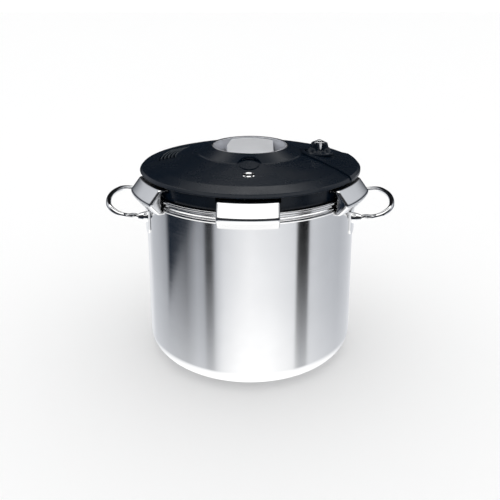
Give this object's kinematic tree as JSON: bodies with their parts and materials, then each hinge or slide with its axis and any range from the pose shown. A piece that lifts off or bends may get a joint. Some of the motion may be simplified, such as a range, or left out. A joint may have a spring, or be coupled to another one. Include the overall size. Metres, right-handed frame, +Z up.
{
  "type": "pressure canner",
  "caption": "Large stovetop pressure canner: deep steel pot with rod loop handles, black domed lid cover, central grip that draws clamp jaws in, and a rotary valve dial.",
  "frame": {"origin": "centre of the base's underside", "axes": "+Z up through the pot's axis, +X towards the valve dial and one loop handle, -Y the front with the indicator"},
  "size_m": [0.4476, 0.3686, 0.3307],
  "materials": {
    "stainless_steel": "brushed",
    "satin_steel": "satin",
    "polished_steel": "polished",
    "spring_steel": "satin",
    "core_aluminium": "satin",
    "black_plastic": "satin",
    "seal_rubber": "matte",
    "bush_bronze": "satin"
  },
  "bodies": {
    "pot": {"pot_body": "stainless_steel", "base_core": "core_aluminium", "base_cap": "stainless_steel", "handle_collars": "polished_steel", "handle_plate_right": "stainless_steel", "handle_plate_left": "stainless_steel", "handle_rod_right": "polished_steel", "handle_rod_left": "polished_steel"},
    "rack": {"rack_plate": "stainless_steel", "rack_feet": "stainless_steel"},
    "lid": {"lid_dome": "stainless_steel", "lid_seal": "seal_rubber", "pivot_stud": "stainless_steel", "retaining_washer": "stainless_steel", "retaining_nut": "stainless_steel", "guide_studs": "stainless_steel", "cover_shell": "black_plastic", "cover_posts": "stainless_steel", "valve_body": "stainless_steel", "valve_nut": "stainless_steel", "valve_seal": "seal_rubber", "valve_spring": "spring_steel", "lock_spring": "spring_steel", "indicator_body": "stainless_steel", "indicator_nut": "stainless_steel", "indicator_seal": "seal_rubber", "indicator_ring": "polished_steel", "safety_body": "stainless_steel", "safety_nut": "stainless_steel", "safety_spring": "spring_steel"},
    "grip": {"cam_plate": "satin_steel", "pivot_bush": "bush_bronze", "grip_hub": "stainless_steel", "grip_cup": "satin_steel", "grip_bar": "satin_steel"},
    "dial": {"valve_knob": "black_plastic"},
    "plunger": {"valve_plunger": "polished_steel"},
    "button": {"lock_button": "black_plastic"},
    "indicator": {"indicator_pin": "polished_steel"},
    "poppet": {"safety_poppet": "stainless_steel"},
    "jaw_body_1": {"jaw_1": "satin_steel", "jaw_pin_1": "stainless_steel"},
    "jaw_body_2": {"jaw_2": "satin_steel", "jaw_pin_2": "stainless_steel"},
    "jaw_body_3": {"jaw_3": "satin_steel", "jaw_pin_3": "stainless_steel"},
    "jaw_body_4": {"jaw_4": "satin_steel", "jaw_pin_4": "stainless_steel"},
    "jaw_body_5": {"jaw_5": "satin_steel", "jaw_pin_5": "stainless_steel"},
    "jaw_body_6": {"jaw_6": "satin_steel", "jaw_pin_6": "stainless_steel"}
  },
  "joints": [
    {"name": "lid_lift", "type": "slide", "parent": "pot", "child": "lid", "axis": [0, 0, 1], "range_m": [0, 0.12]},
    {"name": "rack_lift", "type": "slide", "parent": "pot", "child": "rack", "axis": [0, 0, 1], "range_m": [0, 0.2]},
    {"name": "grip_turn", "type": "hinge", "parent": "lid", "child": "grip", "pos_m": [0, 0, 0.29], "axis": [0, 0, 1], "range_deg": [0, 50]},
    {"name": "jaw_slide_1", "type": "slide", "parent": "lid", "child": "jaw_body_1", "axis": [0, -1, 0], "range_m": [0, 0.0131]},
    {"name": "jaw_slide_2", "type": "slide", "parent": "lid", "child": "jaw_body_2", "axis": [0.866, -0.5, 0], "range_m": [0, 0.0131]},
    {"name": "jaw_slide_3", "type": "slide", "parent": "lid", "child": "jaw_body_3", "axis": [0.866, 0.5, 0], "range_m": [0, 0.0131]},
    {"name": "jaw_slide_4", "type": "slide", "parent": "lid", "child": "jaw_body_4", "axis": [0, 1, 0], "range_m": [0, 0.0131]},
    {"name": "jaw_slide_5", "type": "slide", "parent": "lid", "child": "jaw_body_5", "axis": [-0.866, 0.5, 0], "range_m": [0, 0.0131]},
    {"name": "jaw_slide_6", "type": "slide", "parent": "lid", "child": "jaw_body_6", "axis": [-0.866, -0.5, 0], "range_m": [0, 0.0131]},
    {"name": "dial_turn", "type": "hinge", "parent": "lid", "child": "dial", "pos_m": [0.107, 0, 0.316], "axis": [0, 0, 1], "range_deg": [0, 90]},
    {"name": "plunger_lift", "type": "slide", "parent": "lid", "child": "plunger", "axis": [0, 0, 1], "range_m": [0, 0.002], "stiffness_N_per_m": 400, "deforming": ["valve_spring"]},
    {"name": "button_press", "type": "slide", "parent": "lid", "child": "button", "axis": [0, 0, -1], "range_m": [0, 0.003], "stiffness_N_per_m": 300, "deforming": ["lock_spring"]},
    {"name": "indicator_rise", "type": "slide", "parent": "lid", "child": "indicator", "axis": [0, 0, 1], "range_m": [0, 0.004]},
    {"name": "poppet_lift", "type": "slide", "parent": "lid", "child": "poppet", "axis": [0, 0, 1], "range_m": [0, 0.0025], "stiffness_N_per_m": 600, "deforming": ["safety_spring"]}
  ],
  "couplings": [
    {"joint": "jaw_slide_1", "follows": "grip_turn", "m_per_rad": 0.014897},
    {"joint": "jaw_slide_2", "follows": "grip_turn", "m_per_rad": 0.014897},
    {"joint": "jaw_slide_3", "follows": "grip_turn", "m_per_rad": 0.014897},
    {"joint": "jaw_slide_4", "follows": "grip_turn", "m_per_rad": 0.014897},
    {"joint": "jaw_slide_5", "follows": "grip_turn", "m_per_rad": 0.014897},
    {"joint": "jaw_slide_6", "follows": "grip_turn", "m_per_rad": 0.014897}
  ]
}
